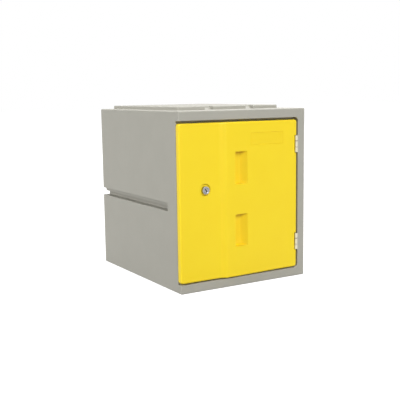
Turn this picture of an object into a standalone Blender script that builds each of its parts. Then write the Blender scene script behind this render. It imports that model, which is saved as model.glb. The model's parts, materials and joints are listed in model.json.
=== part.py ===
"""Plastic locker: a double-walled moulded box with a hinged, lockable door.

Metres, +Z up. The front faces -Y, and the hinges are on the right, at +X. The origin is on the
floor, under the middle of the whole locker. Sizes along Y are counted back from the front plane.
"""
import math

import bmesh
import bpy
from mathutils import Matrix, Vector

# Values that many pieces share
gap = 0.0003
overrun = 0.02
merge_distance = 0.00001

# Body moulding
body_width = 0.385
body_depth = 0.460
body_height = 0.452
body_edge_radius = 0.003
side_wall = 0.033
back_wall = 0.033
roof_wall = 0.033
floor_wall = 0.036
cavity_radius = 0.010

# Door opening in the front frame, which has no stile on the left
right_stile = 0.0226
top_rail = 0.0235
bottom_rail = 0.0230
opening_radius = 0.009
landing_depth = 0.016

# Stacking plateau on the roof, and the recess under the floor that takes the next one
plateau_height = 0.009
plateau_side_inset = 0.038
plateau_front_inset = 0.070
plateau_back_inset = 0.006
plateau_radius = 0.005
plateau_edge_radius = 0.0025
plateau_scoop_width = 0.024
plateau_scoop_depth = 0.020
plateau_scoop_offset = 0.063
stacking_clearance = 0.0015

# Coupling groove along each side: a wide mouth with a deeper slot at its foot
groove_start = 0.063
groove_foot = 0.2019
groove_mouth_height = 0.0209
groove_mouth_depth = 0.0097
groove_slot_height = 0.0112
groove_slot_depth = 0.020

# Door
door_top_gap = 0.0064
door_bottom_gap = 0.0030
door_hinge_gap = 0.0034
door_depth = 0.0145
door_skin = 0.003
door_corner_radius = 0.007
door_edge_radius = 0.004
step_start = 0.114
step_width = 0.020
panel_rise = 0.008
panel_end_inset = 0.039
cover_thickness = 0.0025
cover_inset = 0.0003
hinge_block_reach = 0.007
boss_radius = 0.0045

# Finger pockets, from the left edge of the door, one above and one below its middle
pocket_start = 0.1585
pocket_width = 0.0375
pocket_floor_width = 0.0225
pocket_height = 0.082
pocket_depth = 0.0138
pocket_wall = 0.0025
pocket_edge_radius = 0.002
pocket_cup_share = 0.2
pocket_spacing = 0.160
pocket_raise = 0.00245

# Shallow place for a label, in from the hinged edge and down from the top of the door
label_end_inset = 0.0465
label_width = 0.105
label_drop = 0.0291
label_height = 0.031
label_depth = 0.0005

# Hinges: one leaf rolled plainly round the pin, the other bent towards it
hinge_rise = 0.070
hinge_drop = 0.0641
hinge_height = 0.044
knuckle_radius = 0.00475
leaf_thickness = 0.0012
leaf_spacing = 0.00025
frame_leaf_clearance = 0.00045
leaf_depth = 0.0142
leaf_cut_back = 0.0062
knuckle_top_gap = 0.0020
knuckle_foot_gap = 0.0010
notch_clearance = 0.0008
knuckle_share = 0.30
pin_chamfer_share = 0.25
frame_curl = (0, -300)
door_curl = (35, -265)

# Screws: head radius, head height, shank radius, length
leaf_screw = {"head": 0.0029, "sink": 0.0012, "shank": 0.0015, "length": 0.0150}
keeper_screw = {"head": 0.0032, "sink": 0.0015, "shank": 0.0017, "length": 0.0160}
cover_screw = {"head": 0.0032, "sink": 0.0015, "shank": 0.0015, "length": 0.0090}
leaf_screw_spacing = 0.028
frame_screw_depth = 0.0102
door_screw_depth = 0.0088
keeper_screw_spacing = 0.028
keeper_screw_depth = 0.034
cover_screw_side_inset = 0.036
cover_screw_end_inset = 0.028
cover_screw_mid = 0.225

# Cam lock, in a round dish of the door
lock_across = 0.073
lock_raise = 0.03195
dish_radius = 0.0162
dish_floor_radius = 0.0138
dish_depth = 0.004
lock_boss_radius = 0.0192
housing_head_radius = 0.010
housing_stand_out = 0.005
housing_edge_radius = 0.0008
housing_rim_width = 0.0005
housing_hollow = 0.001
housing_radius = 0.008
housing_length = 0.0202
plug_radius = 0.006
plug_recess = 0.0012
plug_edge = 0.0003
keyway_width = 0.0028
keyway_height = 0.0095
keyway_depth = 0.016
keyway_slant = -28
keyway_corner_share = 0.33
tail_width = 0.007
washer_radius = 0.013
washer_thickness = 0.001
nut_across_flats = 0.022
nut_thickness = 0.0035
cam_thickness = 0.002
cam_width = 0.014
cam_reach = 0.036
cam_gap = 0.0006
cam_screw_head_radius = 0.0055
cam_screw_head_height = 0.0024
cam_screw_shank_radius = 0.0017
cam_screw_length = 0.008
cam_screw_edge_share = 0.25
wafer_count = 4
wafer_thickness = 0.001
wafer_width = 0.0064
wafer_height = 0.0106
wafer_pitch = 0.0028
wafer_first = 0.004
wafer_window_share = 0.75

# Keeper that the cam turns behind
keeper_thickness = 0.0015
keeper_reach = 0.0165
keeper_leg = 0.023
keeper_height = 0.044
keeper_bend_radius = 0.002

# Facets
turn_steps = 24
screw_steps = 12
arc_steps = 4
edge_steps = 3
scoop_steps = 6
step_stations = 8
knuckle_steps = 12
smooth_angle = 35

# Places that follow from the sizes
front_y = (panel_rise - body_depth) / 2
back_y = front_y + body_depth
left_x = -body_width / 2
right_x = body_width / 2
opening_right_x = right_x - right_stile
opening_top_z = body_height - top_rail
inner_left_x = left_x + side_wall
door_width = body_width - right_stile - door_hinge_gap
door_foot_z = bottom_rail + door_bottom_gap
door_top_z = opening_top_z - door_top_gap
door_height = door_top_z - door_foot_z
door_middle_z = (door_foot_z + door_top_z) / 2
door_right_x = left_x + door_width
panel_taper = door_width - panel_end_inset - step_start - step_width
label_start = door_width - label_end_inset - label_width
label_foot = door_top_z - label_drop - label_height
pocket_middle_z = door_middle_z + pocket_raise
pocket_heights = (pocket_middle_z - pocket_spacing / 2, pocket_middle_z + pocket_spacing / 2)
hinge_heights = {"lower": door_foot_z + hinge_rise, "upper": door_top_z - hinge_drop}
lock_height = door_middle_z + lock_raise
axis_x = opening_right_x - frame_leaf_clearance - knuckle_radius
axis_y = front_y
rolled_radius = knuckle_radius - leaf_thickness / 2
pin_radius = knuckle_radius - leaf_thickness - gap
door_leaf_offset = rolled_radius - leaf_thickness - leaf_spacing
lock_x = left_x + lock_across
cover_back = door_depth - gap
cover_front = cover_back - cover_thickness
washer_front = cover_back + gap
nut_front = washer_front + washer_thickness + gap
cam_front = housing_length + cam_gap
cam_back = cam_front + cam_thickness
keeper_back = cam_front - cam_gap

PART = bpy.data.collections.new("plastic_locker")
CUTTERS = bpy.data.collections.new("cutters")


def clear_scene():
    for old in list(bpy.data.objects):
        bpy.data.objects.remove(old, do_unlink=True)
    bpy.context.scene.collection.children.link(PART)
    bpy.context.scene.collection.children.link(CUTTERS)


def make_material(name, colour, roughness, metallic):
    material = bpy.data.materials.new(name)
    material.use_nodes = True
    shader = material.node_tree.nodes["Principled BSDF"]
    shader.inputs["Base Color"].default_value = (*colour, 1.0)
    shader.inputs["Roughness"].default_value = roughness
    shader.inputs["Metallic"].default_value = metallic
    return material


def new_object(name, mesh_data, location=(0, 0, 0), rotation=(0, 0, 0)):
    mesh = bpy.data.meshes.new(name)
    mesh_data.to_mesh(mesh)
    mesh_data.free()
    made = bpy.data.objects.new(name, mesh)
    made.location = location
    made.rotation_euler = [math.radians(angle) for angle in rotation]
    return made


def as_part(made, material, carrier=None):
    """Put a piece in the part's collection; a moving piece hangs on the empty of its joint."""
    PART.objects.link(made)
    made.data.materials.append(material)
    if carrier:
        made.parent = carrier
        made.location -= Vector(carrier["place"])
    return made


def as_cutter(made):
    CUTTERS.objects.link(made)
    made.hide_render = True
    made.display_type = "WIRE"
    return made


def smooth(made):
    made.data.shade_smooth()
    made.data.set_sharp_from_angle(angle=math.radians(smooth_angle))
    return made


def combine(target, other, operation):
    modifier = target.modifiers.new(f"{operation.lower()}_{other.name}", "BOOLEAN")
    modifier.operation = operation
    modifier.solver = "EXACT"
    modifier.object = other
    return target


def cut(target, cutter):
    return combine(target, as_cutter(cutter), "DIFFERENCE")


def join(target, other):
    return combine(target, as_cutter(other), "UNION")


def round_edges(made, width, segments=2):
    modifier = made.modifiers.new("rounded edges", "BEVEL")
    modifier.width = width
    modifier.segments = segments
    modifier.limit_method = "ANGLE"
    return made


def block(name, low, high):
    """A box between two corners, with its origin at its middle."""
    low, high = Vector(low), Vector(high)
    mesh_data = bmesh.new()
    size = Matrix.Diagonal((*(high - low), 1))
    bmesh.ops.create_cube(mesh_data, size=1, matrix=size)
    return new_object(name, mesh_data, (low + high) / 2)


def prism(name, outline, start, length, location=(0, 0, 0), rotation=(0, 0, 0)):
    """A flat outline in the local XY plane, drawn out along local Z from start."""
    mesh_data = bmesh.new()
    corners = [mesh_data.verts.new((x, y, start)) for x, y in outline]
    face = mesh_data.faces.new(corners)
    drawn = bmesh.ops.extrude_face_region(mesh_data, geom=[face])["geom"]
    top = [item for item in drawn if isinstance(item, bmesh.types.BMVert)]
    bmesh.ops.translate(mesh_data, verts=top, vec=(0, 0, length))
    bmesh.ops.recalc_face_normals(mesh_data, faces=mesh_data.faces)
    return new_object(name, mesh_data, location, rotation)


def arc(centre, radius, start, end, steps):
    """Points on an arc, in degrees, with both of its ends."""
    angles = [math.radians(start + (end - start) * i / steps) for i in range(steps + 1)]
    return [(centre[0] + radius * math.cos(a), centre[1] + radius * math.sin(a)) for a in angles]


def rounded_rectangle(low, high, radius):
    points = arc((high[0] - radius, low[1] + radius), radius, -90, 0, arc_steps)
    points += arc((high[0] - radius, high[1] - radius), radius, 0, 90, arc_steps)
    points += arc((low[0] + radius, high[1] - radius), radius, 90, 180, arc_steps)
    points += arc((low[0] + radius, low[1] + radius), radius, 180, 270, arc_steps)
    return points


def front_prism(name, outline, start, length):
    """A prism on an outline in X and Z, drawn backwards from start behind the front plane."""
    mirrored = [(x, -z) for x, z in outline]
    return prism(name, mirrored, start, length, (0, front_y, 0), (-90, 0, 0))


def turned(name, profile, location, rotation, steps, hollow=False):
    """A turned piece: radius and height pairs that run down its outer side."""
    mesh_data = bmesh.new()
    points = [mesh_data.verts.new((radius, 0, height)) for radius, height in profile]
    for first, second in zip(points, points[1:]):
        mesh_data.edges.new((first, second))
    if hollow:
        mesh_data.edges.new((points[-1], points[0]))
    made = new_object(name, mesh_data, location, rotation)
    screw = made.modifiers.new("turned", "SCREW")
    screw.steps = steps
    screw.render_steps = steps
    screw.use_merge_vertices = True
    screw.merge_threshold = merge_distance
    screw.use_smooth_shade = True
    return made


def sheet(name, path, rows, skipped, thickness, location):
    """Bent sheet metal: a path in plan, raised through rows of heights, with some faces left out."""
    mesh_data = bmesh.new()
    grid = [[mesh_data.verts.new((x, y, z)) for x, y in path] for z in rows]
    for row in range(len(rows) - 1):
        for column in range(len(path) - 1):
            if not skipped(row, column):
                lower = grid[row][column:column + 2]
                upper = grid[row + 1][column:column + 2]
                mesh_data.faces.new((lower[0], lower[1], upper[1], upper[0]))
    loose = [vert for vert in mesh_data.verts if not vert.link_faces]
    bmesh.ops.delete(mesh_data, geom=loose, context="VERTS")
    made = new_object(name, mesh_data, location)
    shell = made.modifiers.new("sheet thickness", "SOLIDIFY")
    shell.thickness = thickness
    shell.offset = 0
    shell.use_even_offset = True
    return made


def screw_profile(sizes, grow=0.0, above=0.0):
    """Countersunk screw, or with grow and above the hole that it sits in."""
    return [(0, above), (sizes["head"] + grow, above), (sizes["head"] + grow, -grow / 2),
            (sizes["shank"] + grow, -sizes["sink"] - grow / 2),
            (sizes["shank"] + grow, -sizes["length"] - grow), (0, -sizes["length"] - grow)]


def screw_in(name, sizes, place, facing, material, seats, carrier=None):
    """A screw with its head facing one way, and its hole in each piece that it passes through."""
    turns = {"left": (0, -90, 0), "right": (0, 90, 0), "back": (-90, 0, 0)}
    rotation = turns[facing]
    flush = screw_profile(sizes)
    loose = screw_profile(sizes, gap, gap)
    made = turned(name, flush[:1] + flush[2:], place, rotation, screw_steps)
    for seat in seats:
        cut(seat, turned(f"{name}_hole_{seat.name}", loose, place, rotation, screw_steps))
    return as_part(made, material, carrier)


def rise_at(across):
    """How far the door's face stands in front of the front plane, from its left edge."""
    if across <= step_start:
        return 0.0
    along = (across - step_start) / step_width
    if along < 1:
        return panel_rise * along * along * (3 - 2 * along)
    beyond = (across - step_start - step_width) / panel_taper
    return panel_rise * max(0.0, 1 - beyond)


def plateau_outline(grow):
    low = (left_x + plateau_side_inset - grow, front_y + plateau_front_inset - grow)
    high = (right_x - plateau_side_inset + grow, back_y - plateau_back_inset + grow)
    return rounded_rectangle(low, high, plateau_radius)


def scoop_profile():
    """A plateau scoop from the side, in Y and Z: level at its foot, and curved up to the top."""
    front = front_y + plateau_front_inset
    top = body_height + plateau_height
    angles = [math.pi / 2 * i / scoop_steps for i in range(scoop_steps + 1)]
    curve = [(front + plateau_scoop_depth * math.sin(a), top - plateau_height * math.cos(a)) for a in angles]
    return [(front - overrun, body_height), *curve, (front + plateau_scoop_depth, top + overrun),
            (front - overrun, top + overrun)]


def make_plateau():
    """Raised plateau with two scoops in its front edge, sunk into the roof it is joined to."""
    foot = body_height - roof_wall / 2
    top = body_height + plateau_height
    plateau = prism("plateau", plateau_outline(0), foot, top - foot)
    round_edges(plateau, plateau_edge_radius)
    for side in (-1, 1):
        start = side * plateau_scoop_offset - plateau_scoop_width / 2
        cut(plateau, prism(f"plateau_scoop_{side}", scoop_profile(), start, plateau_scoop_width,
                           rotation=(90, 0, 90)))
    return plateau


def groove_outline(side):
    """Mouth and slot of a side groove, as seen from the front."""
    edge = side * body_width / 2
    slot_top = groove_foot + groove_slot_height
    mouth_top = groove_foot + groove_mouth_height
    return [(edge + side * overrun, groove_foot), (edge - side * groove_slot_depth, groove_foot),
            (edge - side * groove_slot_depth, slot_top), (edge - side * groove_mouth_depth, slot_top),
            (edge - side * groove_mouth_depth, mouth_top), (edge + side * overrun, mouth_top)]


def make_body(material):
    body = block("body_moulding", (left_x, front_y, 0), (right_x, back_y, body_height))
    as_part(round_edges(body, body_edge_radius, edge_steps), material)
    join(body, make_plateau())
    recess_depth = plateau_height + stacking_clearance
    cut(body, prism("stacking_recess", plateau_outline(stacking_clearance), -overrun, overrun + recess_depth))
    low = (left_x - overrun, bottom_rail)
    opening = rounded_rectangle(low, (opening_right_x, opening_top_z), opening_radius)
    cut(body, front_prism("door_opening", opening, -overrun, overrun + landing_depth))
    low = (inner_left_x, front_y - overrun, floor_wall)
    high = (right_x - side_wall, back_y - back_wall, body_height - roof_wall)
    cut(body, round_edges(block("cavity", low, high), cavity_radius, edge_steps))
    for side in (-1, 1):
        length = body_depth - groove_start + overrun
        cut(body, front_prism(f"side_groove_{side}", groove_outline(side), groove_start, length))
    return body


def door_ring(inset, setback=None):
    """One loop round the door's skin, in X and Z from its lower left corner, with its depth."""
    radius = door_corner_radius - inset
    right = door_width - door_corner_radius
    top = door_height - door_corner_radius
    step = [step_start + step_width * i / step_stations for i in range(step_stations + 1)]
    stations = [door_corner_radius, *step, step_start + step_width + panel_taper, right]
    loop = [(x, inset) for x in stations]
    loop += arc((right, door_corner_radius), radius, -90, 0, arc_steps)[1:]
    loop += arc((right, top), radius, 0, 90, arc_steps)[:-1]
    loop += [(x, door_height - inset) for x in reversed(stations)]
    loop += arc((door_corner_radius, top), radius, 90, 180, arc_steps)[1:]
    loop += arc((door_corner_radius, door_corner_radius), radius, 180, 270, arc_steps)[:-1]
    depth = [door_depth if setback is None else setback - rise_at(x) for x, z in loop]
    return loop, depth, len(stations)


def make_door_skin():
    """The door's front and its four returns as one open surface, lofted through loops."""
    mesh_data = bmesh.new()
    angles = [math.pi / 2 * i / edge_steps for i in range(edge_steps + 1)]
    levels = [(0, None)]
    levels += [(door_edge_radius * (1 - math.cos(a)), door_edge_radius * (1 - math.sin(a))) for a in angles]
    loops = []
    for inset, setback in levels:
        points, depths, count = door_ring(inset, setback)
        loops.append([mesh_data.verts.new((x, y, z)) for (x, z), y in zip(points, depths)])
    size = len(loops[0])
    for outer, inner in zip(loops, loops[1:]):
        for i in range(size):
            after = (i + 1) % size
            mesh_data.faces.new((outer[i], outer[after], inner[after], inner[i]))
    face = loops[-1]
    top_left = count + 2 * arc_steps + count - 1
    for i in range(count - 1):
        mesh_data.faces.new((face[i], face[i + 1], face[top_left - i - 1], face[top_left - i]))
    top_right = count + 2 * arc_steps
    mesh_data.faces.new(face[count - 1:top_right + 1])
    mesh_data.faces.new(face[top_left:] + face[:1])
    bmesh.ops.recalc_face_normals(mesh_data, faces=mesh_data.faces)
    front = min(mesh_data.faces, key=lambda item: item.calc_center_median().y)
    if front.normal.y > 0:
        bmesh.ops.reverse_faces(mesh_data, faces=mesh_data.faces)
    origin = Vector((left_x - axis_x, 0, door_foot_z))
    bmesh.ops.translate(mesh_data, verts=mesh_data.verts, vec=origin)
    skin = new_object("door_front", mesh_data, (axis_x, axis_y, 0))
    shell = skin.modifiers.new("skin thickness", "SOLIDIFY")
    shell.thickness = door_skin
    shell.offset = -1
    shell.use_even_offset = True
    return skin


def pocket_outline():
    """A finger pocket in plan: a steep left wall, a flat floor and a ramp on the right."""
    end = pocket_start + pocket_width
    floor_y = pocket_depth - rise_at(pocket_start)
    slope = (floor_y + rise_at(end)) / (pocket_width - pocket_floor_width)
    ahead = overrun + panel_rise
    return [(pocket_start, -ahead), (pocket_start, floor_y), (pocket_start + pocket_floor_width, floor_y),
            (end + (ahead - rise_at(end)) / slope, -ahead)]


def plan_prism(name, outline, foot, height):
    """A prism on an outline that is drawn from the door's left edge and the front plane."""
    placed = [(left_x + x, front_y + y) for x, y in outline]
    return prism(name, placed, foot, height)


def add_pockets(door):
    floor_y = pocket_depth - rise_at(pocket_start)
    cup_end = pocket_start + pocket_width + pocket_wall
    cup_front = door_skin * pocket_cup_share - rise_at(cup_end)
    for number, middle in enumerate(pocket_heights, 1):
        half = pocket_height / 2 + pocket_wall
        low = (left_x + pocket_start - pocket_wall, front_y + cup_front, middle - half)
        high = (left_x + cup_end, front_y + floor_y + pocket_wall, middle + half)
        join(door, block(f"pocket_cup_{number}", low, high))
    for number, middle in enumerate(pocket_heights, 1):
        hollow = plan_prism(f"pocket_{number}", pocket_outline(), middle - pocket_height / 2, pocket_height)
        cut(door, round_edges(hollow, pocket_edge_radius))


def add_label_place(door):
    """A shallow rectangle whose floor keeps to the slope of the panel."""
    end = label_start + label_width
    front = -panel_rise - overrun
    outline = [(label_start, front), (end, front), (end, label_depth - rise_at(end)),
               (label_start, label_depth - rise_at(label_start))]
    cut(door, plan_prism("label_place", outline, label_foot, label_height))


def add_hinge_blocks(door):
    """Solid blocks behind the door's edge, notched for the knuckles."""
    reach = knuckle_radius + notch_clearance
    half = hinge_height / 2 + notch_clearance
    for name, middle in hinge_heights.items():
        low = (axis_x - reach - hinge_block_reach, front_y + door_skin / 2, middle - half - door_skin)
        high = (door_right_x - door_skin / 2, front_y + cover_front - gap, middle + half + door_skin)
        join(door, block(f"{name}_hinge_block", low, high))
    for name, middle in hinge_heights.items():
        low = (axis_x - reach, front_y - overrun, middle - half)
        high = (door_right_x + overrun, front_y + reach, middle + half)
        cut(door, block(f"{name}_knuckle_notch", low, high))


def cover_screw_places():
    acrosses = (cover_screw_side_inset, cover_screw_mid, door_width - cover_screw_side_inset)
    heights = (door_foot_z + cover_screw_end_inset, door_top_z - cover_screw_end_inset)
    return [(across, height) for height in heights for across in acrosses]


def add_bosses(door):
    for number, (across, height) in enumerate(cover_screw_places(), 1):
        start = door_skin / 2 - rise_at(across)
        length = cover_front - gap - start
        place = (left_x + across, front_y + start, height)
        profile = [(0, length), (boss_radius, length), (boss_radius, 0), (0, 0)]
        join(door, turned(f"cover_boss_{number}", profile, place, (-90, 0, 0), screw_steps))


def add_lock_seat(door):
    """Boss behind the skin, the dish in front of it, and the bore for the lock's barrel."""
    place = (lock_x, front_y, lock_height)
    back = gap - cover_front
    boss = [(0, -door_skin / 2), (lock_boss_radius, -door_skin / 2), (lock_boss_radius, back), (0, back)]
    join(door, turned("lock_boss", boss, place, (90, 0, 0), turn_steps))
    bore = housing_radius + gap
    dish = [(0, overrun), (dish_radius, overrun), (dish_radius, 0), (dish_floor_radius, -dish_depth),
            (bore, -dish_depth), (bore, -door_depth), (0, -door_depth)]
    cut(door, turned("lock_dish", dish, place, (90, 0, 0), turn_steps))


def make_door_front(material, carrier):
    door = make_door_skin()
    as_part(smooth(door), material, carrier)
    add_hinge_blocks(door)
    add_bosses(door)
    add_pockets(door)
    add_label_place(door)
    return door


def make_door_back(material, carrier):
    """Rear cover, let in between the door's returns."""
    inset = door_skin + cover_inset
    low = (left_x + inset, door_foot_z + inset)
    high = (door_right_x - inset, door_top_z - inset)
    cover = front_prism("door_back", rounded_rectangle(low, high, door_corner_radius - door_skin),
                        cover_front, cover_thickness)
    as_part(cover, material, carrier)
    bore = housing_radius + gap
    hole = [(0, overrun), (bore, overrun), (bore, -door_depth - overrun), (0, -door_depth - overrun)]
    cut(cover, turned("cover_lock_hole", hole, (lock_x, front_y, lock_height), (90, 0, 0), turn_steps))
    return cover


def knuckle_rows():
    """Heights where the three knuckles of a hinge meet, from its foot."""
    end = hinge_height * knuckle_share
    return [-hinge_height / 2, -hinge_height / 2 + end, hinge_height / 2 - end, hinge_height / 2]


def make_frame_leaf(name, middle, material):
    """Leaf on the stile, with the upper and lower knuckles rolled plainly round the pin."""
    path = [(rolled_radius, leaf_depth), (rolled_radius, leaf_cut_back)]
    path += arc((0, 0), rolled_radius, *frame_curl, knuckle_steps)
    leaf = sheet(f"{name}_hinge_frame_leaf", path, knuckle_rows(),
                 lambda row, column: row == 1 and column > 0, leaf_thickness, (axis_x, axis_y, middle))
    return as_part(smooth(leaf), material)


def make_door_leaf(name, middle, material, carrier):
    """Leaf on the door's edge, bent in to meet the middle knuckle that it carries."""
    bottom, low, high, top = knuckle_rows()
    path = [(door_leaf_offset, leaf_depth), (door_leaf_offset, leaf_cut_back)]
    path += arc((0, 0), rolled_radius, *door_curl, knuckle_steps)
    rows = [bottom, low + knuckle_foot_gap, high - knuckle_top_gap, top]
    leaf = sheet(f"{name}_hinge_door_leaf", path, rows,
                 lambda row, column: row != 1 and column > 0, leaf_thickness, (axis_x, axis_y, middle))
    return as_part(smooth(leaf), material, carrier)


def make_pin(name, middle, material):
    half = hinge_height / 2 + gap
    chamfer = pin_radius * pin_chamfer_share
    profile = [(0, half), (pin_radius - chamfer, half), (pin_radius, half - chamfer),
               (pin_radius, chamfer - half), (pin_radius - chamfer, -half), (0, -half)]
    place = (axis_x, axis_y, middle)
    return as_part(turned(f"{name}_hinge_pin", profile, place, (0, 0, 0), turn_steps), material)


def make_hinges(body, door, material, carrier):
    frame_face = axis_x + rolled_radius - leaf_thickness / 2
    door_face = axis_x + door_leaf_offset + leaf_thickness / 2
    for name, middle in hinge_heights.items():
        frame_leaf = make_frame_leaf(name, middle, material)
        door_leaf = make_door_leaf(name, middle, material, carrier)
        make_pin(name, middle, material)
        for number, side in enumerate((-1, 1), 1):
            height = middle + side * leaf_screw_spacing / 2
            screw_in(f"{name}_hinge_frame_screw_{number}", leaf_screw,
                     Vector((frame_face, front_y + frame_screw_depth, height)), "left", material,
                     (frame_leaf, body))
            screw_in(f"{name}_hinge_door_screw_{number}", leaf_screw,
                     Vector((door_face, front_y + door_screw_depth, height)), "right", material,
                     (door_leaf, door), carrier)


def make_lock_housing(material, carrier):
    """Lock head with a narrow rim and a face that slopes in to the plug, on its barrel."""
    bore = plug_radius + gap
    head = housing_stand_out
    rim = housing_head_radius - housing_edge_radius
    seat = gap - dish_depth
    profile = [(bore, head - housing_hollow), (rim - housing_rim_width, head), (rim, head),
               (housing_head_radius, head - housing_edge_radius),
               (housing_head_radius, seat), (housing_radius, seat), (housing_radius, -housing_length),
               (bore, -housing_length)]
    place = Vector((lock_x, front_y, lock_height))
    housing = turned("lock_housing", profile, place, (90, 0, 0), turn_steps, hollow=True)
    return as_part(housing, material, carrier)


def make_lock_plug(material, carrier):
    """Key plug with a slanted keyway, slots for the wafers, and a square tail for the cam."""
    top = housing_stand_out - plug_recess
    back = -housing_length
    profile = [(0, top), (plug_radius - plug_edge, top), (plug_radius, top - plug_edge), (plug_radius, back),
               (0, back)]
    place = Vector((lock_x, front_y, lock_height))
    plug = turned("lock_plug", profile, place, (90, 0, 0), turn_steps)
    as_part(plug, material, carrier)
    half = tail_width / 2
    low = (lock_x - half, front_y + housing_length - half, lock_height - half)
    high = (lock_x + half, front_y + cam_back - gap, lock_height + half)
    join(plug, block("lock_tail", low, high))
    corner = (keyway_width / 2, keyway_height / 2)
    keyway = rounded_rectangle((-corner[0], -corner[1]), corner, keyway_width * keyway_corner_share)
    turn = (90, keyway_slant, 0)
    cut(plug, prism("keyway", keyway, top - keyway_depth, keyway_depth + overrun, place, turn))
    for number in range(wafer_count):
        slot = wafer_outline(wafer_width + 2 * gap, 2 * plug_radius + 2 * gap)
        start = -wafer_first - number * wafer_pitch - wafer_thickness - gap
        cut(plug, prism(f"wafer_slot_{number + 1}", slot, start, wafer_thickness + 2 * gap, place, turn))
    screw = cam_screw_shank_radius + gap
    hole = [(0, 0), (screw, 0), (screw, -cam_screw_length - 2 * gap), (0, -cam_screw_length - 2 * gap)]
    mouth = place + Vector((0, cam_back + gap, 0))
    cut(plug, turned("cam_screw_hole", hole, mouth, (-90, 0, 0), screw_steps))
    return plug


def wafer_outline(width, height):
    right = width / 2
    top = height / 2
    return [(-right, -top), (right, -top), (right, top), (-right, top)]


def make_wafers(material, carrier):
    """Flat wafers across the plug, each with a window for the key."""
    place = Vector((lock_x, front_y, lock_height))
    turn = (90, keyway_slant, 0)
    for number in range(wafer_count):
        start = -wafer_first - number * wafer_pitch - wafer_thickness
        wafer = prism(f"lock_wafer_{number + 1}", wafer_outline(wafer_width, wafer_height), start,
                      wafer_thickness, place, turn)
        as_part(wafer, material, carrier)
        window = wafer_outline(keyway_width + gap, keyway_height * wafer_window_share)
        cut(wafer, prism(f"wafer_window_{number + 1}", window, start - gap, wafer_thickness + 2 * gap,
                         place, turn))


def make_lock_fixings(material, carrier):
    """Washer and hexagonal nut that hold the housing against the door's rear cover."""
    bore = housing_radius + gap
    place = Vector((lock_x, front_y, lock_height))
    back = washer_front + washer_thickness
    ring = [(bore, -washer_front), (washer_radius, -washer_front), (washer_radius, -back), (bore, -back)]
    as_part(turned("lock_washer", ring, place, (90, 0, 0), turn_steps, hollow=True), material, carrier)
    corner = nut_across_flats / 2 / math.cos(math.pi / 6)
    hexagon = arc((0, 0), corner, 0, 300, 5)
    nut = prism("lock_nut", hexagon, -nut_front - nut_thickness, nut_thickness, place, (90, 0, 0))
    as_part(nut, material, carrier)
    hole = [(0, 0), (bore, 0), (bore, -door_depth - overrun), (0, -door_depth - overrun)]
    cut(nut, turned("nut_bore", hole, place, (90, 0, 0), turn_steps))


def make_cam(material, carrier):
    """Flat cam that hangs down when unlocked and turns behind the keeper to lock."""
    half = cam_width / 2
    outline = arc((0, 0), half, 0, 180, 2 * arc_steps)
    outline += arc((0, half - cam_reach), half, 180, 360, 2 * arc_steps)
    place = Vector((lock_x, front_y, lock_height))
    cam = prism("lock_cam", outline, -cam_back, cam_thickness, place, (90, 0, 0))
    as_part(cam, material, carrier)
    side = tail_width / 2 + gap
    low = (lock_x - side, front_y + cam_front - overrun, lock_height - side)
    high = (lock_x + side, front_y + cam_back + overrun, lock_height + side)
    cut(cam, block("cam_square", low, high))
    head = cam_screw_head_height
    edge = head * cam_screw_edge_share
    shank = cam_screw_shank_radius
    profile = [(0, head), (cam_screw_head_radius - edge, head), (cam_screw_head_radius, head - edge),
               (cam_screw_head_radius, 0), (shank, 0), (shank, -cam_screw_length), (0, -cam_screw_length)]
    mouth = place + Vector((0, cam_back + gap, 0))
    as_part(turned("lock_cam_screw", profile, mouth, (-90, 0, 0), screw_steps), material, carrier)


def make_keeper(body, material):
    """Angle bracket on the left wall; the cam turns behind its free flange."""
    middle = keeper_thickness / 2
    wall_x = gap + middle
    flange_y = keeper_back - middle
    bend = keeper_bend_radius + middle
    path = [(wall_x, flange_y + keeper_leg)]
    path += arc((wall_x + bend, flange_y + bend), bend, 180, 270, arc_steps)
    path += [(wall_x + keeper_reach, flange_y)]
    rows = (-keeper_height / 2, keeper_height / 2)
    place = (inner_left_x, front_y, lock_height)
    keeper = sheet("keeper", path, rows, lambda row, column: False, keeper_thickness, place)
    as_part(smooth(keeper), material)
    face = inner_left_x + gap + keeper_thickness
    for number, side in enumerate((-1, 1), 1):
        height = lock_height + side * keeper_screw_spacing / 2
        screw_in(f"keeper_screw_{number}", keeper_screw, Vector((face, front_y + keeper_screw_depth, height)),
                 "right", material, (keeper, body))


def make_cover_screws(door, cover, material, carrier):
    for number, (across, height) in enumerate(cover_screw_places(), 1):
        place = Vector((left_x + across, front_y + cover_back, height))
        screw_in(f"door_cover_screw_{number}", cover_screw, place, "back", material, (cover, door), carrier)


def joint_empty(name, place, carrier=None):
    """An empty on a joint's axis, for the pieces that move with it."""
    empty = bpy.data.objects.new(name, None)
    PART.objects.link(empty)
    empty["place"] = place
    empty.location = place
    if carrier:
        empty.parent = carrier
        empty.location -= Vector(carrier["place"])
    return empty


def main():
    clear_scene()
    grey = make_material("grey_polyethylene", (0.42, 0.41, 0.36), 0.5, 0.0)
    yellow = make_material("yellow_polyethylene", (0.94, 0.70, 0.04), 0.4, 0.0)
    steel = make_material("stainless_steel", (0.75, 0.73, 0.68), 0.3, 1.0)
    chrome = make_material("chromed_zinc", (0.72, 0.72, 0.74), 0.12, 1.0)
    brass = make_material("brass", (0.75, 0.58, 0.28), 0.3, 1.0)
    body = make_body(grey)
    door_axis = joint_empty("door_axis", Vector((axis_x, axis_y, 0)))
    lock_axis = joint_empty("lock_axis", Vector((lock_x, front_y, lock_height)), door_axis)
    door = make_door_front(yellow, door_axis)
    cover = make_door_back(yellow, door_axis)
    make_cover_screws(door, cover, steel, door_axis)
    make_hinges(body, door, steel, door_axis)
    add_lock_seat(door)
    make_lock_housing(chrome, door_axis)
    make_lock_fixings(steel, door_axis)
    make_lock_plug(chrome, lock_axis)
    make_wafers(brass, lock_axis)
    make_cam(steel, lock_axis)
    make_keeper(body, steel)


main()
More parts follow.
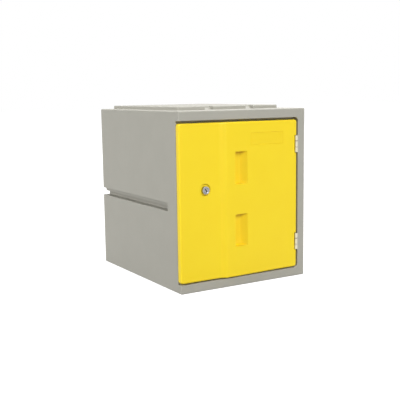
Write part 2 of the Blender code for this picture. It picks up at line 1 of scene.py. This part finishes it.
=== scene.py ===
"""Looks for the plastic locker: its finishes, softened edges, screw heads, studio and camera."""
import json
from math import cos, pi, radians, sin, tan

import bmesh
import bpy
from mathutils import Matrix, Vector


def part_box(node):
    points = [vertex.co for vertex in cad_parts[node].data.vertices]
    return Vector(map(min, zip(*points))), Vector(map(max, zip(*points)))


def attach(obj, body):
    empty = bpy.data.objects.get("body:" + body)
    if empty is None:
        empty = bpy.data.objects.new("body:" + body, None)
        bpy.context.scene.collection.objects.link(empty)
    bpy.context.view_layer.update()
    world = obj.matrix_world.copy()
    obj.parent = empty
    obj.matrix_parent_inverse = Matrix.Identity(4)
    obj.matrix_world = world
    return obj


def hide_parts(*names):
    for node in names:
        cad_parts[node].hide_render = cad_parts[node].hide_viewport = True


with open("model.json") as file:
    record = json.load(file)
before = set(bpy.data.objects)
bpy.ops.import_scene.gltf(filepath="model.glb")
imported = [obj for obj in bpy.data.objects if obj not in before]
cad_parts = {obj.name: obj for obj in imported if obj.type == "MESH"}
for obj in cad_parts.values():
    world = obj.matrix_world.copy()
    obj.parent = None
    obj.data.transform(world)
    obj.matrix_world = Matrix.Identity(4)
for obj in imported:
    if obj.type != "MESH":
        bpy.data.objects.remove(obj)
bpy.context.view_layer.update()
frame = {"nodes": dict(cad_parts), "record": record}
nodes = frame["nodes"]
bodies = frame["record"]["behaviour"]["bodies"]
slots = {row["node"]: row["material_slot"] for row in frame["record"]["subparts"]}

millimetre = 0.001

# Where the photograph was taken from, in metres and degrees of the part's own frame, and the
# camera's lens and the width of its sensor in millimetres
camera_place = (-1.0684, -1.7833, 0.4953)
camera_azimuth = -30.931
camera_elevation = 8.217
camera_roll = -0.795
camera_lens = 66.86
camera_sensor = 36

# Studio, in metres, degrees and watts. The floor is lifted to white, a little less within the
# first distance of its middle than beyond the second. Each lamp stands at an azimuth from the
# front, an elevation and a distance from the point that it faces.
floor_size = 40
floor_grey = "#9C9C9C"
floor_lift = (0.93, 1.0)
floor_fade = (1.0, 3.0)
sky_light = 0.15
lamps = {
    "front_lamp": {"azimuth": -8, "elevation": 35, "distance": 8, "size": 4.5, "power": 525},
    "left_lamp": {"azimuth": -98, "elevation": 22, "distance": 8, "size": 3.0, "power": 335},
    "top_lamp": {"azimuth": 0, "elevation": 88, "distance": 8, "size": 3.0, "power": 110},
    "rear_lamp": {"azimuth": 118, "elevation": 42, "distance": 8, "size": 3.0, "power": 440},
}
studio_aim = (0, 0, 0.23)

# Softened edges, in metres, and the gap that counts as a join between the frame's triangles
moulded_edge = 0.7 * millimetre
door_edge = 0.6 * millimetre
cover_edge = 0.33 * millimetre
metal_edge = 0.25 * millimetre
wafer_edge = 0.12 * millimetre
edge_steps = 3
weld_distance = 0.005 * millimetre

# Angles in degrees: what counts as one flat face, as an edge to soften, and as a sharp fold
flat_angle = 0.05
edge_angle = 44
fold_angle = 28

# How strongly large faces rule the shading beside an edge: 50 would be neutral
large_face_weight = 80

# Sockets of a Mix node that is set to colours: its share, its two colours and its result
mix_share, mix_first, mix_second, mix_result = 0, 6, 7, 2

# Moulded polyethylene, with sizes in metres: faint clouds between two colours, patches of more
# and less shine, and orange peel. The real peel is about 1 mm across; it is drawn at 5 mm, two
# pixels of the photograph.
body_plastic = {"face": "#ABA99F", "cloud": "#A9A79D", "roughness": 0.6}
# The door's pocket and label colours are deeper yellows painted on as shade in those recesses
door_plastic = {"face": "#FADC18", "cloud": "#F9DA16", "pocket_shade": "#F3D105", "label_shade": "#F8D814",
                "roughness": 0.44}
polyethylene_ior = 1.5
cloud_size = 60 * millimetre
cloud_detail = 3.0
cloud_range = (0.35, 0.65)
patch_size = 9 * millimetre
patch_shine = (-0.05, 0.06)
peel_size = 5 * millimetre
peel_height = 0.1 * millimetre
peel_strength = 0.1

# Metals: grain is the width in millimetres of the marks that the surface was left with, stretch
# draws them out along the height, and strength is how much they stand out. Marks of rolling,
# drawing, turning and stamping are finer than 0.1 mm; they are drawn at 0.3 mm or more, so that
# a close view shows them.
metals = {
    # Upright lines and a soft, slightly warm shine, from the rolls
    "stainless_sheet_rolled": {
        "face": "#CAC5B0", "roughness": 0.34, "grain": 0.4, "stretch": 12, "strength": 0.3,
    },
    # Darker and duller, with faint upright lines, from the drawing die
    "steel_wire_drawn": {
        "face": "#6E6A63", "roughness": 0.4, "grain": 0.3, "stretch": 8, "strength": 0.2,
    },
    # Bright, with a fine even grain, from the turning tool
    "stainless_wire_turned": {
        "face": "#B9B6AF", "roughness": 0.3, "grain": 0.3, "stretch": 1, "strength": 0.2,
    },
    # Smooth and bright, with the casting's slow waves in what it reflects
    "zinc_diecast_chromed": {
        "face": "#9B9CA0", "roughness": 0.25, "grain": 3, "stretch": 1, "strength": 0.05,
    },
    # Cool grey with a faint mottling, from the plating bath
    "steel_pressed_zinc_plated": {
        "face": "#A9ACAF", "roughness": 0.36, "grain": 1.2, "stretch": 1, "strength": 0.3,
    },
    # A dull warm yellow with a fine even grain, from the press
    "brass_stamped": {
        "face": "#A5864A", "roughness": 0.42, "grain": 0.3, "stretch": 1, "strength": 0.2,
    },
}

# How far the marks change a metal's roughness and its colour, and how deep they are in metres
mark_shine = (0.75, 1.25)
mark_tone = (0.9, 1.05)
mark_depth = 0.02 * millimetre

# Finger pockets and label place of the door, where a deeper yellow is painted on as shade, and how
# far past them that painted shade fades out, in metres
pocket_across = (-0.0342, 0.0036)
pocket_inside = (-0.2322, -0.2180)
pocket_middles = (0.1465, 0.3065)
pocket_half = 0.0412
label_across = (0.0150, 0.1200)
label_heights = (0.3620, 0.3930)
label_depth = (-0.2400, -0.2200)
pocket_fade = 1.5 * millimetre
label_fade = 3 * millimetre

# Lock: how far behind the plug's face the chrome gives way to painted shade on the keyway's walls,
# over what length that shade fades in, in metres, and the near-black colour of that painted shade
keyway_shade_start = 0.5 * millimetre
keyway_shade_fade = 0.3 * millimetre
keyway_painted_shade = "#1C1A18"

# Screws, in millimetres: which way the head faces, the radii of head and shank, how deep the
# head's cone sinks, and the length. The cam screw is given by rings of radius and height from its
# head's face.
flat_head_chamfer = 0.12
screw_kinds = {
    "cover_screw": {"facing": (0, 1, 0), "head": 3.2, "sink": 1.5, "shank": 1.5, "length": 9.0},
    "frame_screw": {"facing": (-1, 0, 0), "head": 2.9, "sink": 1.2, "shank": 1.5, "length": 15.0},
    "door_screw": {"facing": (1, 0, 0), "head": 2.9, "sink": 1.2, "shank": 1.5, "length": 15.0},
    "keeper_screw": {"facing": (1, 0, 0), "head": 3.2, "sink": 1.5, "shank": 1.7, "length": 16.0},
}
cam_screw_rings = (
    (3.9, 0), (4.6, -0.15), (5.2, -0.5), (5.5, -1.1), (5.5, -2.4), (1.7, -2.4), (1.7, -10.4),
)
screw_facets = 32

# Cross recess: its turn in degrees from one screw to the next, its arms, their half width and its
# depth as shares of the head's radius, and the share of its own size that is left at its foot
screw_turn = 37
cross_arm_share = 0.62
cross_half_width_share = 0.14
cross_depth_share = 0.42
cross_foot_share = 0.62

# Lock nut: its bore's radius in metres, and a chamfer that starts at a share of the distance to a
# flat and slopes at an angle in degrees
nut_flats = 6
nut_bore = 8.3 * millimetre
nut_facets = 72
nut_face_share = 0.97
nut_chamfer_angle = 30
nut_chamfer_rings = 4


def linear(hex_colour):
    """A colour written as sRGB hex, as linear red, green, blue and alpha."""
    parts = [int(hex_colour[i:i + 2], 16) / 255 for i in (1, 3, 5)]
    return tuple(c / 12.92 if c <= 0.04045 else ((c + 0.055) / 1.055) ** 2.4 for c in parts) + (1,)


def add(tree, kind, settings=None, links=None):
    """One node, with its settings and with what feeds each of its inputs."""
    node = tree.nodes.new(kind)
    for name, value in (settings or {}).items():
        if isinstance(name, int) or name in node.inputs:
            node.inputs[name].default_value = value
        else:
            setattr(node, name, value)
    for name, source in (links or {}).items():
        tree.links.new(source, node.inputs[name])
    return node


def new_finish(name):
    """An empty material with its surface shader and the object's own coordinates in metres."""
    finish = bpy.data.materials.new(name)
    finish.use_nodes = True
    tree = finish.node_tree
    tree.nodes.clear()
    shader = add(tree, "ShaderNodeBsdfPrincipled")
    add(tree, "ShaderNodeOutputMaterial", links={"Surface": shader.outputs[0]})
    place = add(tree, "ShaderNodeTexCoord").outputs["Object"]
    return finish, tree, shader, place


def inside(tree, place, low, high, margin):
    """One within a box of the object's own space, fading to nothing over a margin outside it."""
    middle = (Vector(low) + Vector(high)) / 2
    half = (Vector(high) - Vector(low)) / 2
    away = add(tree, "ShaderNodeVectorMath", {"operation": "SUBTRACT", 1: middle}, {0: place})
    spread = add(tree, "ShaderNodeVectorMath", {"operation": "ABSOLUTE"}, {0: away.outputs[0]})
    past = add(tree, "ShaderNodeVectorMath", {"operation": "SUBTRACT", 1: half},
               {0: spread.outputs[0]})
    axes = add(tree, "ShaderNodeSeparateXYZ", {}, {0: past.outputs[0]}).outputs
    most = add(tree, "ShaderNodeMath", {"operation": "MAXIMUM"}, {0: axes[0], 1: axes[1]})
    most = add(tree, "ShaderNodeMath", {"operation": "MAXIMUM"}, {0: most.outputs[0], 1: axes[2]})
    fade = {"From Min": margin, "From Max": 0.0}
    return add(tree, "ShaderNodeMapRange", fade, {"Value": most.outputs[0]}).outputs[0]


def recolour(tree, shader, colour, share):
    """Puts another colour on part of a material: share is one there and nothing elsewhere."""
    present = shader.inputs["Base Color"].links[0].from_socket
    mixed = add(tree, "ShaderNodeMix", {"data_type": "RGBA", mix_second: linear(colour)},
                {mix_share: share, mix_first: present})
    tree.links.new(mixed.outputs[mix_result], shader.inputs["Base Color"])


def moulded_polyethylene(name, face, cloud, roughness):
    """Polyethylene moulded in a blasted tool: an even colour with faint clouding of the pigment,
    a fine orange-peel skin and a soft, waxy shine that varies a little."""
    finish, tree, shader, place = new_finish(name)
    clouding = add(tree, "ShaderNodeTexNoise", {"Scale": 1 / cloud_size, "Detail": cloud_detail},
                   {"Vector": place})
    spread = add(tree, "ShaderNodeMapRange",
                 {"From Min": cloud_range[0], "From Max": cloud_range[1]},
                 {"Value": clouding.outputs[0]})
    colour = add(tree, "ShaderNodeMix",
                 {"data_type": "RGBA", mix_first: linear(face), mix_second: linear(cloud)},
                 {mix_share: spread.outputs[0]})
    patches = add(tree, "ShaderNodeTexNoise", {"Scale": 1 / patch_size}, {"Vector": place})
    least, most = (roughness + change for change in patch_shine)
    shine = add(tree, "ShaderNodeMapRange", {"To Min": least, "To Max": most},
                {"Value": patches.outputs[0]})
    peel = add(tree, "ShaderNodeTexNoise", {"Scale": 1 / peel_size}, {"Vector": place})
    skin = add(tree, "ShaderNodeBump", {"Strength": peel_strength, "Distance": peel_height},
               {"Height": peel.outputs[0]})
    shader.inputs["IOR"].default_value = polyethylene_ior
    tree.links.new(colour.outputs[mix_result], shader.inputs["Base Color"])
    tree.links.new(shine.outputs[0], shader.inputs["Roughness"])
    tree.links.new(skin.outputs[0], shader.inputs["Normal"])
    return finish, tree, shader, place


def door_polyethylene(name, face, cloud, pocket_shade, label_shade, roughness):
    """The door's yellow, with a deeper yellow painted into its finger pockets and label place as
    shade."""
    finish, tree, shader, place = moulded_polyethylene(name, face, cloud, roughness)
    # Painted shade: a deeper yellow in each finger pocket and in the label place
    for middle in pocket_middles:
        low = (pocket_across[0], pocket_inside[0], middle - pocket_half)
        high = (pocket_across[1], pocket_inside[1], middle + pocket_half)
        recolour(tree, shader, pocket_shade, inside(tree, place, low, high, pocket_fade))
    low, high = zip(label_across, label_depth, label_heights)
    recolour(tree, shader, label_shade, inside(tree, place, low, high, label_fade))
    return finish


def worked_metal(name, face, roughness, grain, stretch, strength):
    """Metal that shows how it was worked, by marks in its shine, its tone and its relief."""
    finish, tree, shader, place = new_finish(name)
    drawn = add(tree, "ShaderNodeMapping", {"Scale": (1, 1, 1 / stretch)}, {"Vector": place})
    marks = add(tree, "ShaderNodeTexNoise", {"Scale": 1 / (grain * millimetre)},
                {"Vector": drawn.outputs[0]}).outputs[0]
    least, most = (roughness * share for share in mark_shine)
    shine = add(tree, "ShaderNodeMapRange", {"To Min": least, "To Max": most}, {"Value": marks})
    tone = add(tree, "ShaderNodeMapRange", {"To Min": mark_tone[0], "To Max": mark_tone[1]},
               {"Value": marks})
    toned = {"data_type": "RGBA", "blend_type": "MULTIPLY", mix_share: 1, mix_first: linear(face)}
    colour = add(tree, "ShaderNodeMix", toned, {mix_second: tone.outputs[0]})
    relief = add(tree, "ShaderNodeBump", {"Strength": strength, "Distance": mark_depth},
                 {"Height": marks})
    shader.inputs["Metallic"].default_value = 1
    tree.links.new(colour.outputs[mix_result], shader.inputs["Base Color"])
    tree.links.new(shine.outputs[0], shader.inputs["Roughness"])
    tree.links.new(relief.outputs[0], shader.inputs["Normal"])
    return finish, tree, shader, place


def keyed_plug_metal(name, plating):
    """Plated casting whose keyway walls, from just behind the plug's face, are painted near-black
    as shade."""
    finish, tree, shader, place = worked_metal(name, **plating)
    low, high = (Vector(corner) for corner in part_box("lock_plug"))
    low.y += keyway_shade_start
    # Painted shade: the plug behind its front face is coloured near-black to darken the keyway
    recolour(tree, shader, keyway_painted_shade, inside(tree, place, low, high, keyway_shade_fade))
    return finish


def smoothing_tree():
    """Joins the frame's loose triangles and shades them smooth, and leaves the mesh as it is."""
    tree = bpy.data.node_groups.new("joined_and_smooth", "GeometryNodeTree")
    tree.interface.new_socket("Geometry", in_out="INPUT", socket_type="NodeSocketGeometry")
    tree.interface.new_socket("Geometry", in_out="OUTPUT", socket_type="NodeSocketGeometry")
    start = add(tree, "NodeGroupInput").outputs[0]
    bare = add(tree, "GeometryNodeRemoveAttribute", {"Name": "custom_normal"}, {"Geometry": start})
    joined = add(tree, "GeometryNodeMergeByDistance", {"Distance": weld_distance},
                 {"Geometry": bare.outputs[0]})
    smooth = add(tree, "GeometryNodeSetShadeSmooth", {"Shade Smooth": True},
                 {"Geometry": joined.outputs[0]})
    add(tree, "NodeGroupOutput", links={0: smooth.outputs[0]})
    return tree


def soften(piece, tree, width, crowded):
    """Gives a piece of the frame small rounded edges, narrower where its corners are crowded."""
    piece.modifiers.new("joined", "NODES").node_group = tree
    flat = piece.modifiers.new("flat_faces", "DECIMATE")
    flat.decimate_type = "DISSOLVE"
    flat.angle_limit = radians(flat_angle)
    edge = piece.modifiers.new("edge", "BEVEL")
    edge.width = width
    edge.segments = edge_steps
    edge.limit_method = "ANGLE"
    edge.angle_limit = radians(edge_angle)
    edge.use_clamp_overlap = crowded
    even = piece.modifiers.new("even_light", "WEIGHTED_NORMAL")
    even.keep_sharp = False
    even.weight = large_face_weight


def paint(piece, finish):
    """Gives a piece one material in place of those it has."""
    piece.data.materials.clear()
    piece.data.materials.append(finish)


def ring(mesh, radii, height):
    """Points round the Z axis, one for each radius."""
    turn = 2 * pi / len(radii)
    return [mesh.verts.new((radius * cos(i * turn), radius * sin(i * turn), height))
            for i, radius in enumerate(radii)]


def wall(mesh, upper, lower):
    """Four-sided faces all the way round between two loops of points."""
    for i, first in enumerate(upper):
        after = (i + 1) % len(upper)
        mesh.faces.new((first, lower[i], lower[after], upper[after]))


def cross(mesh, arm, half, height):
    """The twelve corners of a cross, from the length of its arms and half their width."""
    quarter = [(arm, half), (half, half), (half, arm)]
    corners = []
    for side in range(4):
        corners += [mesh.verts.new((x, y, height)) for x, y in quarter]
        quarter = [(-y, x) for x, y in quarter]
    return corners


def stand_in(name, mesh, finish, node, facing, turn):
    """A finer piece in the place of a frame node, with the middle of its head's face at Z = 0."""
    low, high = (Vector(corner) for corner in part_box(node))
    middle = (low + high) / 2
    outward = Vector(facing)
    for axis in range(3):
        if facing[axis]:
            middle[axis] = high[axis] if facing[axis] > 0 else low[axis]
    data = bpy.data.meshes.new(name)
    bmesh.ops.recalc_face_normals(mesh, faces=mesh.faces)
    mesh.to_mesh(data)
    mesh.free()
    data.shade_smooth()
    data.set_sharp_from_angle(angle=radians(fold_angle))
    piece = bpy.data.objects.new(name, data)
    upright = outward.to_track_quat("Z", "Y").to_matrix().to_4x4()
    piece.matrix_world = Matrix.Translation(middle) @ upright @ Matrix.Rotation(turn, 4, "Z")
    bpy.context.scene.collection.objects.link(piece)
    paint(piece, finish)
    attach(piece, next(body for body, held in bodies.items() if node in held))
    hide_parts(node)


def screw_mesh(rings):
    """A screw with a tapered cross recess in its head."""
    mesh = bmesh.new()
    loops = [ring(mesh, [radius * millimetre] * screw_facets, height * millimetre)
             for radius, height in rings]
    for upper, lower in zip(loops, loops[1:]):
        wall(mesh, upper, lower)
    mesh.faces.new(loops[-1])
    head = rings[0][0] * millimetre
    arm = head * cross_arm_share
    half = head * cross_half_width_share
    mouth = cross(mesh, arm, half, 0)
    foot = cross(mesh, arm * cross_foot_share, half * cross_foot_share, -head * cross_depth_share)
    wall(mesh, mouth, foot)
    mesh.faces.new(foot)
    rims = [mesh.edges.get((loop[i - 1], loop[i]))
            for loop in (loops[0], mouth) for i in range(len(loop))]
    bmesh.ops.triangle_fill(mesh, use_beauty=True, edges=rims)
    return mesh


def make_screws(finish, cam_finish):
    """Every screw again, with a cross recess that the frame's plain ones lack."""
    count = 0
    for kind, sizes in screw_kinds.items():
        rings = ((sizes["head"] - flat_head_chamfer, 0), (sizes["head"], -flat_head_chamfer),
                 (sizes["shank"], -sizes["sink"]), (sizes["shank"], -sizes["length"]))
        for node in sorted(name for name in nodes if kind in name):
            count += 1
            turn = radians(count * screw_turn)
            stand_in(f"cross_{node}", screw_mesh(rings), finish, node, sizes["facing"], turn)
    stand_in("cross_lock_cam_screw", screw_mesh(cam_screw_rings), cam_finish, "lock_cam_screw",
             (0, 1, 0), radians(screw_turn))


def make_nut(finish):
    """The lock's nut with its corners turned off at the rear, as a real one's are."""
    low, high = (Vector(corner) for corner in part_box("lock_nut"))
    flat = (high.z - low.z) / 2
    thick = high.y - low.y
    slope = tan(radians(nut_chamfer_angle))
    flat_turn = 2 * pi / nut_flats
    deep = (flat / cos(flat_turn / 2) - flat * nut_face_share) * slope
    turn = 2 * pi / nut_facets
    sides = [flat / cos((i * turn) % flat_turn - flat_turn / 2) for i in range(nut_facets)]
    mesh = bmesh.new()
    bore = [nut_bore] * nut_facets
    loops = [ring(mesh, bore, -thick), ring(mesh, bore, 0)]
    for step in range(nut_chamfer_rings + 1):
        down = deep * step / nut_chamfer_rings
        edge = flat * nut_face_share + down / slope
        loops.append(ring(mesh, [min(side, edge) for side in sides], -down))
    loops.append(ring(mesh, sides, -thick))
    for upper, lower in zip(loops, loops[1:] + loops[:1]):
        wall(mesh, upper, lower)
    stand_in("chamfered_lock_nut", mesh, finish, "lock_nut", (0, 1, 0), 0)


def white_where_seen(tree):
    """One where the camera, a reflection or clear material looks, and nothing for light itself."""
    rays = add(tree, "ShaderNodeLightPath").outputs
    mirrored = add(tree, "ShaderNodeMath", {"operation": "MAXIMUM"},
                   {0: rays["Is Camera Ray"], 1: rays["Is Glossy Ray"]}).outputs[0]
    return add(tree, "ShaderNodeMath", {"operation": "MAXIMUM"},
               {0: mirrored, 1: rays["Is Transmission Ray"]}).outputs[0]


def make_floor():
    """The studio's pale floor, which takes the shadow and is lifted to white only where seen."""
    half = floor_size / 2
    mesh = bpy.data.meshes.new("studio_floor")
    corners = [(-half, -half, 0), (half, -half, 0), (half, half, 0), (-half, half, 0)]
    mesh.from_pydata(corners, [], [(0, 1, 2, 3)])
    floor = bpy.data.objects.new("studio_floor", mesh)
    bpy.context.scene.collection.objects.link(floor)
    finish = bpy.data.materials.new("studio_floor_paint")
    finish.use_nodes = True
    tree = finish.node_tree
    tree.nodes.clear()
    paint_coat = add(tree, "ShaderNodeBsdfDiffuse", {"Color": linear(floor_grey)}).outputs[0]
    place = add(tree, "ShaderNodeTexCoord").outputs["Object"]
    away = add(tree, "ShaderNodeVectorMath", {"operation": "LENGTH"}, {0: place}).outputs["Value"]
    level = add(tree, "ShaderNodeMapRange",
                {"From Min": floor_fade[0], "From Max": floor_fade[1],
                 "To Min": floor_lift[0], "To Max": floor_lift[1]}, {"Value": away})
    lift = add(tree, "ShaderNodeMath", {"operation": "MULTIPLY"},
               {0: white_where_seen(tree), 1: level.outputs[0]})
    glow = add(tree, "ShaderNodeEmission", {}, {"Strength": lift.outputs[0]}).outputs[0]
    both = add(tree, "ShaderNodeAddShader", {}, {0: paint_coat, 1: glow}).outputs[0]
    add(tree, "ShaderNodeOutputMaterial", links={"Surface": both})
    paint(floor, finish)


def make_sky():
    """White where it is seen and in reflections, and a plain soft grey as light."""
    world = bpy.data.worlds.new("studio_sky")
    world.use_nodes = True
    bpy.context.scene.world = world
    tree = world.node_tree
    tree.nodes.clear()
    level = add(tree, "ShaderNodeMapRange", {"To Min": sky_light, "To Max": 1.0},
                {"Value": white_where_seen(tree)})
    sky = add(tree, "ShaderNodeBackground", {"Color": linear("#FFFFFF")},
              {"Strength": level.outputs[0]})
    add(tree, "ShaderNodeOutputWorld", links={"Surface": sky.outputs[0]})


def outward_from(azimuth, elevation):
    """The direction to something at that azimuth from the front and that elevation, in degrees."""
    azimuth, elevation = radians(azimuth), radians(elevation)
    return Vector((sin(azimuth) * cos(elevation), -cos(azimuth) * cos(elevation), sin(elevation)))


def add_lamp(name, lamp):
    """A large soft square lamp that faces the locker."""
    light = bpy.data.lights.new(name, "AREA")
    light.shape = "SQUARE"
    light.size = lamp["size"]
    light.energy = lamp["power"]
    holder = bpy.data.objects.new(name, light)
    outward = outward_from(lamp["azimuth"], lamp["elevation"])
    holder.location = Vector(studio_aim) + outward * lamp["distance"]
    holder.rotation_euler = outward.to_track_quat("Z", "Y").to_euler()
    bpy.context.scene.collection.objects.link(holder)


def make_camera():
    """The photograph's own viewpoint, with its slight roll."""
    back = outward_from(camera_azimuth, camera_elevation)
    roll = radians(camera_roll)
    level = Vector((0, 0, 1)).cross(back).normalized()
    upright = back.cross(level)
    across = level * cos(roll) + upright * sin(roll)
    upward = upright * cos(roll) - level * sin(roll)
    lens = bpy.data.cameras.new("photo_camera")
    lens.lens = camera_lens
    lens.sensor_width = camera_sensor
    camera = bpy.data.objects.new("photo_camera", lens)
    turned = Matrix((across, upward, back)).transposed().to_4x4()
    camera.matrix_world = Matrix.Translation(camera_place) @ turned
    bpy.context.scene.collection.objects.link(camera)
    bpy.context.scene.camera = camera


def dress_frame():
    """Finishes and softened edges for every piece of the frame."""
    grey = moulded_polyethylene("grey_polyethylene_moulded", **body_plastic)[0]
    yellow = door_polyethylene("yellow_polyethylene_moulded", **door_plastic)
    metal = {name: worked_metal(name, **look)[0] for name, look in metals.items()}
    plug = keyed_plug_metal("zinc_diecast_keyway_painted_shade", metals["zinc_diecast_chromed"])
    pin = metal["steel_wire_drawn"]
    screw = metal["stainless_wire_turned"]
    zinc = metal["steel_pressed_zinc_plated"]
    looks = {
        "body_plastic": (grey, moulded_edge),
        "door_plastic": (yellow, door_edge),
        "hinge_steel": (metal["stainless_sheet_rolled"], metal_edge),
        "screw_steel": (screw, wafer_edge),
        "lock_chrome": (metal["zinc_diecast_chromed"], metal_edge),
        "lock_steel": (zinc, metal_edge),
        "wafer_brass": (metal["brass_stamped"], wafer_edge),
    }
    own_looks = {
        "door_back": (yellow, cover_edge),
        "lower_hinge_pin": (pin, metal_edge),
        "upper_hinge_pin": (pin, metal_edge),
        "lock_plug": (plug, metal_edge),
    }
    tree = smoothing_tree()
    for name, piece in nodes.items():
        finish, width = own_looks.get(name, looks[slots[name]])
        crowded = "door_leaf" in name or name == "lock_plug"
        paint(piece, finish)
        soften(piece, tree, width, crowded)
    make_screws(screw, zinc)
    make_nut(zinc)


dress_frame()
make_floor()
make_sky()
for lamp_name, lamp in lamps.items():
    add_lamp(lamp_name, lamp)
make_camera()
bpy.context.scene.view_settings.view_transform = "Standard"
